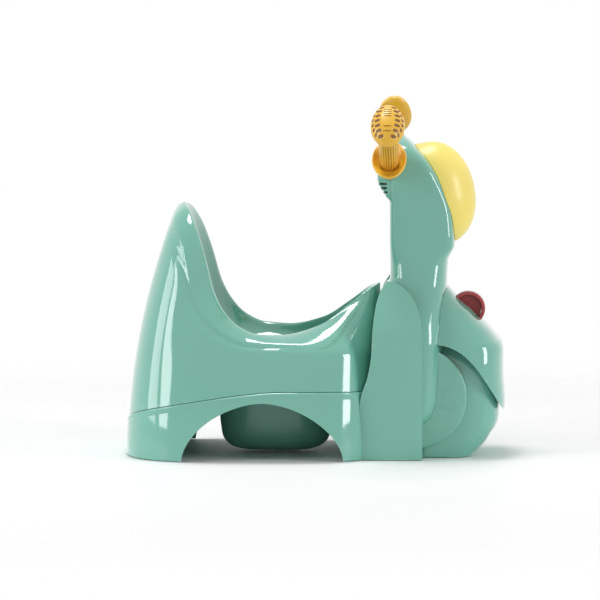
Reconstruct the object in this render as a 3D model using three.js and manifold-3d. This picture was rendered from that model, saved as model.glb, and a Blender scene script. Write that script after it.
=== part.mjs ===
// Potty training chair in the shape of a scooter: millimetres, +Z up, +X to the scooter's front,
// +Y to its left. The origin lies on the floor, under the middle of the whole chair.
import * as THREE from 'three';
import { mergeVertices } from 'three/addons/utils/BufferGeometryUtils.js';
import Module from 'manifold-3d';

const wasm = await Module();
wasm.setup();

// ---- Driving dimensions -------------------------------------------------------------------
const gap = 0.3;                 // between pieces that touch
const wall = 3;                  // moulded wall of the seat, skirt and mudguard
const shellWall = 2.6;           // moulded wall of the front housings
const floorGap = 0.8;            // moulded edges above the floor; the rubber feet carry the chair

// Seat body, in plan: base outline, and the opening that the bowl hangs in
const base = { x: -72.6, halfX: 150.9, halfY: 135, power: 3 };
const opening = { x: -48, halfX: 84, halfY: 66, power: 2.3 };
const openingHeight = 128;       // where the seat surface ends round the opening
const ledgeDrop = 5;             // the bowl's ledge below it
const ledgeWidth = 9;
const ledgeLip = 9;              // hanging lip under the ledge
const backHeight = 298;          // top of the backrest
const pommelHeight = 203;        // top of the splash guard between the legs
const rimHalf = 91;              // half width of the rim at its widest

// Skirt under the seat body
const skirtProud = 1.5;
const skirtBack = 33;            // height of the bead line at the back
const skirtSide = 83;            // and at the side
const skirtLip = 10;             // tongue that stands up inside the seat shell
const arch = { x: -58, height: 70, rearHalf: 96, frontHalf: 88 };

// Bowl
const bowlFloor = 3;             // underside above the floor
const bowlWall = 2.5;
const bowlFlange = 3;            // thickness of its rim
const bowlPlay = 1.2;            // sideways clearance in the opening

// Front housings: half widths, heights and corner powers of their level sections
const column = { half: 86, neckHalf: 46, headHalf: 52, top: 378, rear: 88, front: 165, power: 3.2, headPower: 7 };
const bagDepth = 12;             // pannier depth outside the column
const bag = { front: 129, top: 209, shoulder: 146 };
const fender = { half: 80, top: 198, front: 225, power: 3.2, wall: 4.5 };
const wheelBox = { half: 66, top: 150, rear: 100, power: 4 };
const wheel = { x: 120, z: 72, radius: 61, depth: 5 };
const grille = { front: 90, low: 302, high: 334, slots: 4, lowest: 309, pitch: 5.5, slot: 2, spine: 5 };
const lamp = { x: 142, z: 308, along: 60, across: 47, depth: 43, tilt: 0.4, wall: 2.5, power: 3 };
const badge = { x: 180.5, z: 172.4, radius: 20.4, ring: 4.5, half: 9, recess: 2.5 };

// Handlebar: a level bar inside the head whose two arms rise outwards
const bar = { x: 89, radius: 7, rise: 39.8, guardY: 68, guardZ: 353, inside: 30, reach: 75 };
const guard = { halfX: 20.5, halfUp: 27.5, depth: 9, neck: 12, wall: 2.5 };
const grip = { radius: 11.5, end: 8 };
const cap = { halfX: 20, halfUp: 26, dome: 15, rim: 5 };

// Rubber feet: one pair under the back of the skirt, one pair under the front wheel box
const foot = { radius: 9, height: 3, block: 26, blockHeight: 12 };
const rearFoot = { x: -182, y: 84 };
const frontFoot = { x: 166, y: 38 };

// Screws that close the two column halves
const screw = { head: 3.8, headLength: 3, shank: 1.7, length: 22, boss: 6 };
const screwPlaces = [{ x: 112, z: 48 }, { x: 112, z: 150 }, { x: 118, z: 262 }];

// ---- Geometry helpers ---------------------------------------------------------------------
const lerp = THREE.MathUtils.lerp;
const { abs, sin, cos, pow, sqrt, PI, sign } = Math;

// Smooth curve through a few [place, value] rows, without overshoot
function curve(rows) {
  const slope = rows.slice(1).map((row, i) => (row[1] - rows[i][1]) / (row[0] - rows[i][0]));
  const tangent = rows.map((row, i) => {
    if (i === 0 || i === rows.length - 1) return slope[Math.min(i, slope.length - 1)];
    return slope[i - 1] * slope[i] <= 0 ? 0 : (2 * slope[i - 1] * slope[i]) / (slope[i - 1] + slope[i]);
  });
  return (place) => {
    const at = Math.min(Math.max(place, rows[0][0]), rows.at(-1)[0]);
    let i = 0;
    while (i < rows.length - 2 && at > rows[i + 1][0]) i += 1;
    const span = rows[i + 1][0] - rows[i][0];
    const u = (at - rows[i][0]) / span;
    const rest = 1 - u;
    return rows[i][1] * (1 + 2 * u) * rest * rest + rows[i + 1][1] * u * u * (3 - 2 * u)
      + span * u * rest * (tangent[i] * rest - tangent[i + 1] * u);
  };
}

const planRadius = (angle, plan, extra = 0) =>
  pow(pow(abs(cos(angle)) / (plan.halfX + extra), plan.power)
    + pow(abs(sin(angle)) / (plan.halfY + extra), plan.power), -1 / plan.power);

function planPoint(angle, plan, height, extra = 0) {
  const radius = planRadius(angle, plan, extra);
  return new THREE.Vector3(plan.x + radius * cos(angle), radius * sin(angle), height);
}

const angles = (count) => Array.from({ length: count }, (_, i) => (2 * PI * (i + 0.5)) / count);

// Triangles over a grid of points: rows run along the piece, columns go round it
function gridGeometry(rows, closed) {
  const across = rows[0].length;
  const positions = rows.flat().flatMap((p) => [p.x, p.y, p.z]);
  const faces = [];
  const last = closed ? rows.length : rows.length - 1;
  for (let i = 0; i < last; i += 1) {
    for (let j = 0; j < across; j += 1) {
      const a = i * across + j;
      const b = i * across + ((j + 1) % across);
      const c = ((i + 1) % rows.length) * across + ((j + 1) % across);
      const d = ((i + 1) % rows.length) * across + j;
      faces.push(a, b, c, a, c, d);
    }
  }
  if (!closed) addCaps(rows, positions, faces);
  const geometry = new THREE.BufferGeometry();
  geometry.setAttribute('position', new THREE.Float32BufferAttribute(positions, 3));
  geometry.setIndex(faces);
  return geometry;
}

function addCaps(rows, positions, faces) {
  const across = rows[0].length;
  for (const [row, flip] of [[0, true], [rows.length - 1, false]]) {
    const middle = rows[row].reduce((sum, p) => sum.add(p), new THREE.Vector3()).divideScalar(across);
    const hub = positions.length / 3;
    positions.push(middle.x, middle.y, middle.z);
    for (let j = 0; j < across; j += 1) {
      const a = row * across + j;
      const b = row * across + ((j + 1) % across);
      faces.push(...(flip ? [hub, b, a] : [hub, a, b]));
    }
  }
}

// three.js geometry to a manifold solid, and back
function solid(geometry) {
  const bare = geometry.clone();
  bare.deleteAttribute('normal');
  bare.deleteAttribute('uv');
  const merged = mergeVertices(bare, 1e-4);
  const made = new wasm.Manifold(new wasm.Mesh({
    numProp: 3,
    vertProperties: new Float32Array(merged.attributes.position.array),
    triVerts: new Uint32Array(merged.index.array),
  }));
  return made.volume() < 0 ? turned(merged) : made;
}

function turned(geometry) {
  const index = geometry.index.array;
  const triVerts = new Uint32Array(index.length);
  for (let i = 0; i < index.length; i += 3) triVerts.set([index[i], index[i + 2], index[i + 1]], i);
  return new wasm.Manifold(new wasm.Mesh({
    numProp: 3, vertProperties: new Float32Array(geometry.attributes.position.array), triVerts,
  }));
}

function fromSolid(made) {
  const mesh = made.getMesh();
  const geometry = new THREE.BufferGeometry();
  geometry.setAttribute('position', new THREE.Float32BufferAttribute(mesh.vertProperties, 3));
  geometry.setIndex(Array.from(mesh.triVerts));
  return geometry;
}

function box(x0, x1, y0, y1, z0, z1) {
  const geometry = new THREE.BoxGeometry(x1 - x0, y1 - y0, z1 - z0);
  geometry.translate((x0 + x1) / 2, (y0 + y1) / 2, (z0 + z1) / 2);
  return solid(geometry);
}

// Cylinder along +Y between two values of y
function rod(x, z, radius, y0, y1, segments = 24) {
  const geometry = new THREE.CylinderGeometry(radius, radius, y1 - y0, segments);
  geometry.translate(x, (y0 + y1) / 2, z);
  return solid(geometry);
}

// Outline in side view (x, z), extruded across the chair
function sidePrism(points, y0, y1) {
  const shape = new THREE.Shape(points.map(([x, z]) => new THREE.Vector2(x, z)));
  const geometry = new THREE.ExtrudeGeometry(shape, { depth: y1 - y0, bevelEnabled: false });
  geometry.rotateX(PI / 2);
  geometry.translate(0, y1, 0);
  return solid(geometry);
}

// Moulded ring: a surface line per plan angle, thickened inwards; a level start cuts its foot flat
function shellRing(count, thickness, line, levelStart = false) {
  const rows = angles(count).map((angle) => {
    const points = line(angle);
    const side = new THREE.Vector3(-sin(angle), cos(angle), 0);
    const inner = points.map((p, i) => {
      const along = points[Math.min(i + 1, points.length - 1)].clone()
        .sub(points[Math.max(i - 1, 0)]).normalize();
      return p.clone().addScaledVector(new THREE.Vector3().crossVectors(along, side), thickness);
    });
    if (levelStart) inner[0].z = points[0].z;
    return [...points, ...inner.reverse()];
  });
  return solid(gridGeometry(rows, true));
}

// Solid of level sections: each level gives rear, front, half width and corner power
function levelLoft(levels, section, count = 24) {
  const rows = levels.map((z) => {
    const { rear, front, half, power } = section(z);
    const plan = { x: (rear + front) / 2, halfX: (front - rear) / 2, halfY: half, power };
    return angles(count).map((angle) => planPoint(angle, plan, z));
  });
  return solid(gridGeometry(rows, false));
}

const offsetSection = (section, amount) => (z) => {
  const s = section(z);
  return { rear: s.rear - amount, front: s.front + amount, half: s.half + amount, power: s.power };
};

// ---- Seat body ----------------------------------------------------------------------------
// Every shape round the seat is a curve over the plan angle in degrees: 0 in front, 180 at the back
const foldedDegrees = (angle) => abs(THREE.MathUtils.radToDeg(Math.atan2(sin(angle), cos(angle))));

const crestX = curve([[0, 76], [20, 68], [40, 42], [60, 8], [80, -36], [96, -66], [110, -92], [122, -110],
  [132, -122], [142, -133], [152, -143], [165, -152], [180, -157]]);
const crestY = curve([[0, 0], [20, 24], [40, 42], [60, 62], [80, 80], [96, rimHalf - 2], [110, rimHalf],
  [122, rimHalf - 1], [132, 84], [142, 72], [152, 56], [165, 31], [180, 0]]);
const crestZ = curve([[0, pommelHeight], [20, pommelHeight - 4], [40, 179], [60, 157], [80, 146.5],
  [96, 148], [110, 159], [122, 178], [132, 203], [142, 246], [152, backHeight - 22],
  [165, backHeight - 5], [180, backHeight]]);
// From the knee, where the wall turns into the rim, up to the crest
const kneeDrop = curve([[0, 73], [20, 69], [40, 51], [60, 26], [80, 10.5], [110, 11], [142, 14], [180, 14]]);
const kneeLean = curve([[0, 0.3], [40, 0.25], [60, 0.32], [96, 0.49], [122, 0.6], [142, 0.7], [180, 0.78]]);
const rimRound = curve([[0, 1.2], [40, 1.2], [60, 1.4], [96, 1.8], [122, 2], [180, 2]]);

function crestPoint(angle) {
  const degrees = foldedDegrees(angle);
  const side = sign(sin(angle));
  return new THREE.Vector3(crestX(degrees), side * crestY(degrees), crestZ(degrees));
}

function beadHeight(angle) {
  const degrees = foldedDegrees(angle);
  if (degrees < 75) return skirtSide - 7 * pow((75 - degrees) / 75, 2);
  return skirtSide - (skirtSide - skirtBack) * pow((degrees - 75) / 105, 1.6);
}

// Part of the way from the base outline (0) to the crest (1), at a height
function between(angle, lean, height, proud = 0) {
  const point = planPoint(angle, base, 0).lerp(crestPoint(angle), lean);
  return new THREE.Vector3(point.x + proud * cos(angle), point.y + proud * sin(angle), height);
}

const kneeHeight = (angle) => crestZ(foldedDegrees(angle)) - kneeDrop(foldedDegrees(angle));

function wallPoint(angle, height, proud = 0) {
  const lean = kneeLean(foldedDegrees(angle)) * pow(Math.max(height, 0) / kneeHeight(angle), 2);
  return between(angle, lean, height, proud);
}

function rimPoint(angle, share, proud = 0) {
  const degrees = foldedDegrees(angle);
  const rise = 1 - pow(1 - share, rimRound(degrees));
  const lean = lerp(kneeLean(degrees), 1, share);
  return between(angle, lean, lerp(kneeHeight(angle), crestZ(degrees), rise), proud);
}

// Inner face, from the crest (share 0) down to the opening (share 1)
function innerPoint(angle, share) {
  const reach = 0.35 * sqrt(1 - pow(1 - share, 6)) + 0.65 * pow(share, 2.5);
  const point = crestPoint(angle);
  const height = lerp(point.z, openingHeight, share);
  point.lerp(planPoint(angle, opening, 0), reach);
  point.z = height;
  return point;
}

const seatFacets = 36;

function seatEnvelope(proud) {
  const shares = [0, 0.25, 0.5, 0.75, 1];
  const rows = [-5, 0].map((height) => angles(seatFacets).map((angle) => wallPoint(angle, height, proud)));
  for (const share of shares) {
    rows.push(angles(seatFacets).map((angle) =>
      wallPoint(angle, lerp(40, kneeHeight(angle), share), proud)));
  }
  for (const share of shares.slice(1)) {
    rows.push(angles(seatFacets).map((angle) => rimPoint(angle, share, proud)));
  }
  rows.push(rows.at(-1).map((point) => new THREE.Vector3(point.x, point.y, point.z + proud)));
  return solid(gridGeometry(rows, false));
}

// One moulding: outer wall from the bead line, rolled rim, seat surface and the bowl's ledge
function seatShell() {
  const ledge = openingHeight - ledgeDrop;
  return shellRing(seatFacets, wall, (angle) => {
    const foot = beadHeight(angle) + gap;
    const outer = [0, 0.25, 0.5, 0.75, 1].map((u) => wallPoint(angle, lerp(foot, kneeHeight(angle), u)));
    const rim = [0.3, 0.6, 0.85, 1].map((u) => rimPoint(angle, u));
    const face = [0.04, 0.15, 0.35, 0.6, 0.8, 1].map((u) => innerPoint(angle, u));
    const step = [planPoint(angle, opening, ledge), planPoint(angle, opening, ledge, -ledgeWidth),
      planPoint(angle, opening, ledge - ledgeLip, -ledgeWidth)];
    return [...outer, ...rim, ...face, ...step];
  }, true);
}

function skirtWall() {
  const tongue = -(wall + 2 * gap);
  const rows = angles(seatFacets).map((angle) => {
    const bead = beadHeight(angle);
    const at = (proud, height) => wallPoint(angle, height, proud);
    return [at(skirtProud, floorGap), at(skirtProud, bead - 2), at(skirtProud - 1, bead),
      at(tongue, bead), at(tongue, bead + skirtLip), at(tongue - 2.5, bead + skirtLip),
      at(tongue - 2.5, bead - 4), at(skirtProud - wall, bead - 9), at(skirtProud - wall, floorGap)];
  });
  return solid(gridGeometry(rows, true));
}

// Arched cut-out through both sides of the skirt
function archPrism() {
  const points = [];
  for (let i = 0; i <= 18; i += 1) {
    const turn = (PI * i) / 18;
    const half = cos(turn) < 0 ? arch.rearHalf : arch.frontHalf;
    points.push([arch.x + half * cos(turn), arch.height * sin(turn)]);
  }
  points.push([arch.x - arch.rearHalf, -5], [arch.x + arch.frontHalf, -5]);
  return sidePrism(points, -160, 160);
}

function footBlock(x, y, inside) {
  const half = foot.block / 2;
  const low = foot.height + gap;
  return box(x - half, x + half, y - half, y + half, low, low + foot.blockHeight).intersect(inside);
}

function baseSkirt() {
  const inside = seatEnvelope(0);
  let made = skirtWall();
  for (const side of [-1, 1]) {
    const y = side * rearFoot.y;
    const arm = box(rearFoot.x - 6, rearFoot.x + 6, Math.min(y, side * 130), Math.max(y, side * 130),
      foot.height + gap, foot.height + gap + foot.blockHeight).intersect(inside);
    made = made.add(footBlock(rearFoot.x, y, inside)).add(arm);
  }
  return made.subtract(archPrism());
}

// ---- Bowl ---------------------------------------------------------------------------------
function pottyBowl() {
  const lipHalf = opening.halfX - bowlPlay;
  const neck = opening.halfX - ledgeWidth - 2;
  const flangeLow = openingHeight - ledgeDrop + gap;
  const outer = [[34, bowlFloor], [45, 4.5], [57, 10], [64, 20], [67, 42], [69, 80], [neck, flangeLow]];
  const inner = outer.slice(0, 6).reverse().map(([half, z]) => [half - bowlWall, z + bowlWall]);
  const rings = [...outer, [lipHalf, flangeLow], [lipHalf, flangeLow + bowlFlange],
    [neck - bowlWall, flangeLow + bowlFlange], ...inner];
  const narrower = opening.halfX - opening.halfY;
  const rows = rings.map(([half, z]) => angles(28).map((angle) =>
    planPoint(angle, { x: opening.x, halfX: half, halfY: half - narrower, power: opening.power }, z)));
  return solid(gridGeometry(rows, false));
}

// ---- Front housings -----------------------------------------------------------------------
const columnRear = curve([[0, 58], [40, 58], [75, 61], [100, 67], [149, 73], [177, 76], [196, 81],
  [212, column.rear], [300, column.rear],
  [307, 83], [328, 73], [345, 73], [360, 79], [370, 87], [column.top, 98]]);
const columnFront = curve([[0, bag.front], [35, 131], [44, 143], [55, 151], [70, 155], [134, 156],
  [170, 155], [210, 156], [230, 157], [250, column.front], [268, 164], [288, 162], [308, 156],
  [332, 145], [353, 131], [365, 119], [372, 112], [column.top, 104]]);
const columnHalf = curve([[0, column.half], [130, column.half], [150, 84], [170, 76], [190, 64],
  [205, 55], [222, 49], [250, column.neckHalf], [296, column.neckHalf], [320, 50],
  [334, column.headHalf], [348, 51], [362, 44], [372, 29], [column.top, 10]]);
const columnPower = curve([[0, column.power], [225, column.power], [262, column.headPower],
  [345, column.headPower], [372, column.power], [column.top, column.power]]);
const columnSection = (z) =>
  ({ rear: columnRear(z), front: columnFront(z), half: columnHalf(z), power: columnPower(z) });
const columnLevels = [floorGap, 35, 44, 55, 90, 130, 150, 170, 190, 198, 205, 212, 230, 250, 275, 302,
  314, 328, 345, 356, 365, 372, column.top];

function columnEnvelope(proud) {
  const levels = [-5, ...columnLevels.slice(1, -1), column.top + proud];
  return levelLoft(levels, offsetSection(columnSection, proud));
}

function columnTube() {
  const inner = levelLoft([-5, ...columnLevels.slice(1, -1), column.top - shellWall - 1],
    offsetSection(columnSection, -shellWall));
  return levelLoft(columnLevels, columnSection).subtract(inner)
    .subtract(seatEnvelope(skirtProud + gap)).subtract(grilleBlock(gap)).subtract(barSolid(gap));
}

// Region of the head's back that the louvred grille takes
function grilleBlock(extra) {
  return box(60, grille.front + extra, -90, 90, grille.low - extra, grille.high + extra);
}

function rearGrille() {
  const inner = levelLoft([250, ...columnLevels.filter((z) => z > 260 && z < 370)],
    offsetSection(columnSection, -shellWall));
  let made = levelLoft(columnLevels, columnSection).subtract(inner).intersect(grilleBlock(0));
  for (let i = 0; i < grille.slots; i += 1) {
    const z = grille.lowest + i * grille.pitch;
    for (const side of [-1, 1]) {
      const y0 = side > 0 ? grille.spine : -90;
      const y1 = side > 0 ? 90 : -grille.spine;
      made = made.subtract(box(60, grille.front - 4, y0, y1, z, z + grille.slot));
    }
  }
  return made.subtract(barSolid(gap));
}

// One half of the column, with the bosses that its screws go through
function columnHalfShell(side) {
  const outside = columnEnvelope(-1);
  let made = columnTube();
  for (const place of screwPlaces) {
    const reach = side * (columnHalf(place.z) - 1);
    const boss = rod(place.x, place.z, screw.boss, Math.min(0, reach), Math.max(0, reach), 12);
    made = made.add(boss.intersect(outside));
  }
  for (const place of screwPlaces) {
    made = made.subtract(screwClearance(place));
  }
  const y0 = side > 0 ? gap / 2 : -200;
  const y1 = side > 0 ? 200 : -gap / 2;
  return made.intersect(box(0, 300, y0, y1, -10, 400));
}

const screwHeadY = screw.length / 2;
function screwClearance({ x, z }) {
  return rod(x, z, screw.shank + gap, -screwHeadY - 1, screwHeadY, 12)
    .add(rod(x, z, screw.head + gap, screwHeadY - gap, 200, 12));
}

function columnScrew({ x, z }) {
  return rod(x, z, screw.shank, -screwHeadY, screwHeadY + 0.1, 12)
    .add(rod(x, z, screw.head, screwHeadY, screwHeadY + screw.headLength, 12));
}

function pannier(side) {
  const rearLine = [[52, floorGap], [52, 40], [57, 75], [65, 100], [69, 125], [70, 149], [73, 177],
    [78, 196], [86, bag.top]];
  const top = [];
  for (let i = 1; i <= 6; i += 1) {
    const turn = (PI / 2) * (i / 6);
    top.push([86 + (bag.front - 86) * sin(turn), bag.shoulder + (bag.top - bag.shoulder) * cos(turn)]);
  }
  const y0 = side > 0 ? 20 : -130;
  const y1 = side > 0 ? 130 : -20;
  const outline = sidePrism([...rearLine, ...top, [bag.front, floorGap]], y0, y1);
  const skin = (z) => ({ rear: 30, front: 151, half: columnHalf(z) + bagDepth, power: 6 });
  const levels = [-5, 60, 130, 150, 170, 190, 205, 222];
  const middle = [92, 100];
  const inset = [...rearLine, ...top, [bag.front, floorGap - 10]].map(([x, z]) =>
    [lerp(middle[0], x, 0.92), lerp(middle[1], z, 0.97)]);
  const hollow = levelLoft(levels, offsetSection(skin, -wall)).intersect(sidePrism(inset, y0, y1));
  const frontBody = wheelBox.half + wheel.depth + 2 * gap;
  return levelLoft(levels, skin).intersect(outline).subtract(hollow)
    .subtract(columnEnvelope(gap)).subtract(seatEnvelope(skirtProud + gap))
    .subtract(box(100, 200, -frontBody, frontBody, -10, bag.shoulder + 10));
}

const fenderFront = curve([[45, 219], [53, 224], [61, fender.front], [106, 223], [124, 223], [133, 221],
  [140, 215], [151, 206], [164, 192], [173, 184], [180, 175], [186, 168], [fender.top, 158]]);
const fenderHalf = curve([[45, fender.half], [110, fender.half], [130, 76], [151, 68], [173, 56],
  [186, 46], [fender.top, 34]]);
const fenderSection = (z) =>
  ({ rear: 110, front: fenderFront(z), half: fenderHalf(z), power: fender.power });
const fenderLevels = [50, 61, 95, 124, 133, 142, 151, 164, 175, 186, fender.top];

function mudguard() {
  const inner = levelLoft([40, 61, 95, 124, 133, 142, 151, 164, 175, 186, fender.top - fender.wall],
    offsetSection(fenderSection, -fender.wall));
  const lip = [[130, 137], [156, 133], [172, 126], [188, 112], [201, 94], [212, 76], [222, 58],
    [232, 52], [240, 30], [130, 30]];
  return levelLoft(fenderLevels, fenderSection).subtract(inner)
    .subtract(sidePrism(lip, -120, 120)).subtract(columnEnvelope(gap))
    .subtract(rod(badge.x, badge.z, badge.radius + gap, -badge.half - gap, badge.half + gap, 32));
}

const boxFront = curve([[0, 186], [16, 202], [27, 209], [37, 215.5], [49, 218], [86, 218], [106, 216],
  [124, 211], [133, 206], [wheelBox.top, 184]]);
const boxHalf = curve([[0, wheelBox.half], [95, wheelBox.half], [124, 58], [wheelBox.top, 40]]);
const boxSection = (z) =>
  ({ rear: wheelBox.rear, front: boxFront(z), half: boxHalf(z), power: wheelBox.power });

function wheelHousing() {
  const levels = [floorGap, 16, 27, 49, 86, 106, 124, 133, wheelBox.top];
  const inner = levelLoft([-5, ...levels.slice(1, -1), wheelBox.top - wall],
    offsetSection(boxSection, -shellWall));
  let made = levelLoft(levels, boxSection).subtract(inner);
  for (const side of [-1, 1]) {
    made = made.add(footBlock(frontFoot.x, side * frontFoot.y, levelLoft(levels, boxSection)));
    made = made.add(box(frontFoot.x - 4, frontFoot.x + 4, side > 0 ? 30 : -wheelBox.half + 1,
      side > 0 ? wheelBox.half - 1 : -30, foot.height + gap, foot.height + gap + foot.blockHeight));
  }
  return made.subtract(columnEnvelope(gap));
}

function wheelDisc(side) {
  const inner = side * (wheelBox.half + gap);
  const outer = side * (wheelBox.half + gap + wheel.depth);
  return rod(wheel.x, wheel.z, wheel.radius, Math.min(inner, outer), Math.max(inner, outer), 40)
    .subtract(columnEnvelope(gap)).intersect(box(wheelBox.rear, 300, -200, 200, -10, 300));
}

// ---- Lamp and badge -----------------------------------------------------------------
function lampDome() {
  const dome = (less, from) => {
    const rows = [from, 0, 0.25, 0.5, 0.7, 0.84, 0.94, 0.99].map((q) => {
      const size = q < 0 ? 1 : pow(1 - pow(q, lamp.power), 1 / lamp.power);
      return angles(24).map((angle) => new THREE.Vector3(
        q * (lamp.depth - less), size * (lamp.across - less) * sin(angle),
        size * (lamp.along - less) * cos(angle)));
    });
    const geometry = gridGeometry(rows, false);
    geometry.rotateY(-lamp.tilt);
    geometry.translate(lamp.x, 0, lamp.z);
    return solid(geometry);
  };
  return dome(0, -0.3).subtract(dome(lamp.wall, -0.6))
    .subtract(columnEnvelope(gap));
}

function badgeRing() {
  const ring = rod(badge.x, badge.z, badge.radius, -badge.half, badge.half, 32);
  return ring.subtract(rod(badge.x, badge.z, badge.radius - badge.ring, -20, 20, 32));
}

function badgeDisc() {
  const half = badge.half - badge.recess;
  return rod(badge.x, badge.z, badge.radius - badge.ring - gap, -half, half, 32);
}

// ---- Handlebar ----------------------------------------------------------------------------
const riseAngle = THREE.MathUtils.degToRad(bar.rise);

// Places a geometry built along +Y from the guard's centre onto one arm of the bar
function onArm(geometry, side) {
  geometry.rotateX(riseAngle);
  geometry.translate(0, bar.guardY, bar.guardZ);
  if (side < 0) geometry.rotateZ(PI);
  geometry.translate(bar.x, 0, 0);
  return solid(geometry);
}

function armRod(radius, from, to, side, segments = 16) {
  const geometry = new THREE.CylinderGeometry(radius, radius, to - from, segments);
  geometry.translate(0, (from + to) / 2, 0);
  return onArm(geometry, side);
}

// Round profile [radius, along the arm], squeezed to an oval across the arm
function armTurned(profile, squeeze, side, segments = 18) {
  const points = profile.map(([radius, along]) => new THREE.Vector2(radius, along));
  const geometry = new THREE.LatheGeometry(points, segments);
  geometry.scale(squeeze, 1, 1);
  return onArm(geometry, side);
}

function barSolid(extra) {
  const arm = (side) => armRod(bar.radius + extra, -bar.inside, bar.reach - 6 + extra, side);
  const bendY = bar.guardY - bar.inside * cos(riseAngle);
  const bendZ = bar.guardZ - bar.inside * sin(riseAngle);
  return arm(1).add(arm(-1)).add(rod(bar.x, bendZ, bar.radius + extra, -bendY, bendY, 16));
}

function handGuard(side) {
  const g = guard;
  const profile = [[0, -16], [g.neck, -16], [g.neck + 1, -8], [20, -2], [g.halfUp, g.depth - 2],
    [g.halfUp, g.depth], [g.halfUp - g.wall, g.depth], [18, 1.5], [g.neck - 2, 0], [0, 0]];
  return armTurned(profile, g.halfX / g.halfUp, side).subtract(armRod(bar.radius + gap, -30, 30, side))
    .subtract(columnEnvelope(gap));
}

function handGrip(side) {
  const from = 2;
  const to = bar.reach - grip.end - gap;
  return armRod(grip.radius, from, to, side, 18).subtract(armRod(bar.radius + gap, -5, 100, side));
}

function gripEnd(side) {
  const from = bar.reach - grip.end;
  const profile = [[0, from], [grip.radius + 2, from], [cap.halfUp - 3, from + 3], [cap.halfUp, from + cap.rim],
    [cap.halfUp - 0.6, from + cap.rim + 3], [cap.halfUp * 0.85, from + cap.rim + cap.dome * 0.55],
    [cap.halfUp * 0.5, from + cap.rim + cap.dome * 0.9], [0, from + cap.rim + cap.dome]];
  return armTurned(profile, cap.halfX / cap.halfUp, side)
    .subtract(armRod(bar.radius + gap, -5, bar.reach - 6 + gap, side));
}

// ---- Feet ---------------------------------------------------------------------------------
function rubberFoot({ x, y }, side) {
  const geometry = new THREE.CylinderGeometry(foot.radius, foot.radius, foot.height, 20);
  geometry.rotateX(PI / 2);
  geometry.translate(x, side * y, foot.height / 2);
  return solid(geometry);
}

// ---- Assembly -----------------------------------------------------------------------------
const mint = { color: 0x8fd0b8, roughness: 0.22, metalness: 0 };
const yellow = { color: 0xe6b840, roughness: 0.3, metalness: 0 };
const paleYellow = { color: 0xecca66, roughness: 0.4, metalness: 0 };
const shadeMint = { color: 0x7fbfa8, roughness: 0.35, metalness: 0 };
const red = { color: 0xb23c3c, roughness: 0.3, metalness: 0 };
const darkRed = { color: 0x8d3232, roughness: 0.35, metalness: 0 };
const rubber = { color: 0x3a3f3e, roughness: 0.9, metalness: 0 };
const steel = { color: 0xb8bcc0, roughness: 0.3, metalness: 1 };

const chair = new THREE.Group();
function put(name, made, look) {
  const mesh = new THREE.Mesh(fromSolid(made), new THREE.MeshStandardMaterial(look));
  mesh.name = name;
  chair.add(mesh);
}

put('base_skirt', baseSkirt(), mint);
put('seat_shell', seatShell(), mint);
put('potty_bowl', pottyBowl(), shadeMint);
put('mudguard', mudguard(), mint);
put('wheel_housing', wheelHousing(), mint);
put('rear_grille', rearGrille(), mint);
put('lamp_dome', lampDome(), paleYellow);
put('badge_ring', badgeRing(), red);
put('badge_disc', badgeDisc(), darkRed);
put('handlebar_tube', barSolid(0), steel);
for (const [name, side] of [['left', 1], ['right', -1]]) {
  put(`column_shell_${name}`, columnHalfShell(side), mint);
  put(`pannier_${name}`, pannier(side), mint);
  put(`wheel_disc_${name}`, wheelDisc(side), mint);
  put(`hand_guard_${name}`, handGuard(side), yellow);
  put(`hand_grip_${name}`, handGrip(side), yellow);
  put(`grip_end_${name}`, gripEnd(side), yellow);
  put(`rear_foot_${name}`, rubberFoot(rearFoot, side), rubber);
  put(`front_foot_${name}`, rubberFoot(frontFoot, side), rubber);
}
screwPlaces.forEach((place, i) => put(`column_screw_${i + 1}`, columnScrew(place), steel));

export default chair;
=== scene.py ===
import math

import bmesh
import bpy
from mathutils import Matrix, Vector


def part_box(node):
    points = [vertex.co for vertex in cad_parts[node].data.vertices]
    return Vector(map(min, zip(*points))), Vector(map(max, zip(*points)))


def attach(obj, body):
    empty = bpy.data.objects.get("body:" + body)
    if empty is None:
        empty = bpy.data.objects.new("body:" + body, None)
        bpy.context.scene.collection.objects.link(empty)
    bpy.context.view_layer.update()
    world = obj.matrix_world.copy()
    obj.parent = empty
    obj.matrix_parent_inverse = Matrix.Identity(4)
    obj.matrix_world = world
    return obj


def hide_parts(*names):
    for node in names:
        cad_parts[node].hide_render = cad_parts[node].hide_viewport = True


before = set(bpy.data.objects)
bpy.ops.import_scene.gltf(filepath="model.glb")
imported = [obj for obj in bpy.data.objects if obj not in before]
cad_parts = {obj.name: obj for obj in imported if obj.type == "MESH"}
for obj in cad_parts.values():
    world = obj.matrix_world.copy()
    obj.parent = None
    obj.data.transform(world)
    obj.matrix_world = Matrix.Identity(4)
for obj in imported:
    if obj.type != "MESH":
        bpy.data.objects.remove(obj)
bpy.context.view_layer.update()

# ------------------------------------------------
# Camera: a long lens a few metres off the chair's right side, a little ahead of square and
# looking slightly down on it, so that the whole chair stands inside a square picture.
MM = 0.001
camera_distance = 7.0
camera_height = 0.775
camera_ahead = math.radians(2.9)
frame_width = 0.712
aim = Vector((-0.0197, 0.0, 0.181))

camera_data = bpy.data.cameras.new("studio_camera")
camera = bpy.data.objects.new("studio_camera", camera_data)
bpy.context.scene.collection.objects.link(camera)
camera.location = (aim.x + camera_distance * math.sin(camera_ahead),
                   aim.y - camera_distance * math.cos(camera_ahead), camera_height)
camera.rotation_euler = (aim - camera.location).to_track_quat("-Z", "Y").to_euler()
camera_data.angle = 2 * math.atan(frame_width / 2 / camera_distance)
bpy.context.scene.camera = camera

# ------------------------------------------------
# Studio: a white world, a large soft box overhead, two beside and behind the backrest and one
# ahead of the lamp. The light stays at a level at which colours render as written.
bpy.context.scene.view_settings.view_transform = "Standard"


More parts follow.
